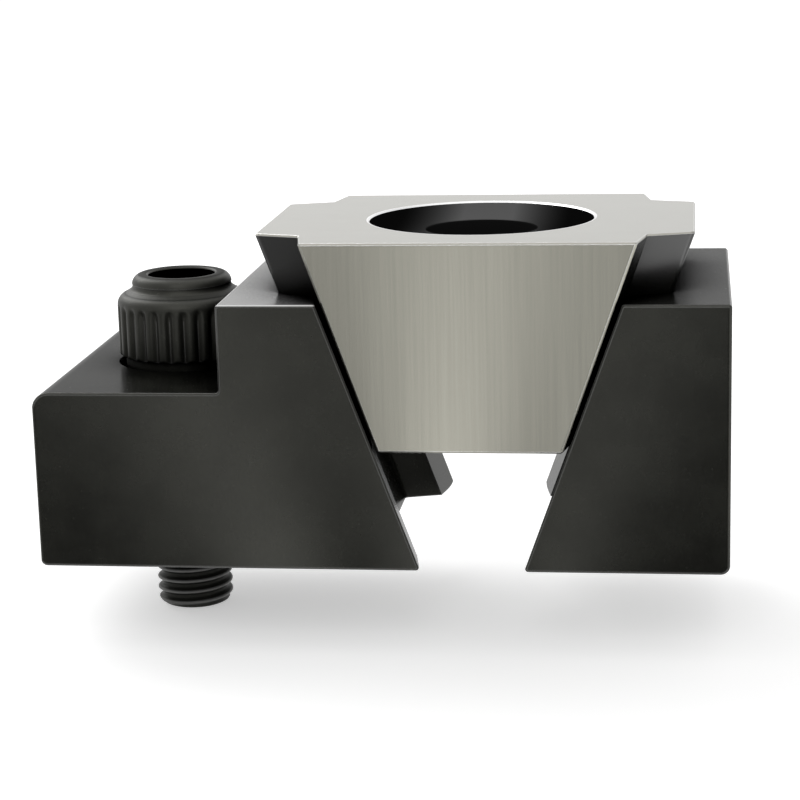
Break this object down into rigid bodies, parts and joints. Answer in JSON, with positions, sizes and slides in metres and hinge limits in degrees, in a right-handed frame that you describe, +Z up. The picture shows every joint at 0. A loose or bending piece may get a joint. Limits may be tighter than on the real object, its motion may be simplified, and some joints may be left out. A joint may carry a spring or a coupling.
{
  "type": "wedge side vise",
  "caption": "Side clamp: a bright wedge is drawn down between black jaws and slides one of them outwards; a fluted socket screw fixes the stepped stop jaw.",
  "frame": {"origin": "on the jaw screw's axis, in the plane of the jaws' undersides", "axes": "+X from the stop jaw to the moving jaw, +Y along the jaws' depth, +Z up, away from the table"},
  "size_m": [0.1031, 0.05, 0.062],
  "materials": {
    "jaw_steel": "black oxide, fine ground",
    "wedge_steel": "ground bright, seat and tongue flanks black oxide",
    "screw_steel": "black oxide, satin"
  },
  "bodies": {
    "stop_jaw": {"stop_jaw": "jaw_steel"},
    "wedge": {"wedge": "wedge_steel"},
    "moving_jaw": {"moving_jaw": "jaw_steel"},
    "washer": {"screw_washer": "screw_steel"},
    "screw": {"jaw_screw": "screw_steel"}
  },
  "joints": [
    {"name": "wedge_slide", "type": "slide", "parent": "stop_jaw", "child": "wedge", "axis": [0.342, 0, -0.9397], "range_m": [-0.003, 0.008]},
    {"name": "moving_jaw_slide", "type": "slide", "parent": "stop_jaw", "child": "moving_jaw", "axis": [1, 0, 0], "range_m": [-0.0021, 0.0055]},
    {"name": "screw_lift", "type": "slide", "parent": "stop_jaw", "child": "washer", "axis": [0, 0, 1], "range_m": [0, 0.012]},
    {"name": "screw_turn", "type": "hinge", "parent": "washer", "child": "screw", "pos_m": [0, 0, 0], "axis": [0, 0, 1], "continuous": true}
  ],
  "couplings": [
    {"joint": "moving_jaw_slide", "follows": "wedge_slide", "ratio": 0.68404}
  ]
}
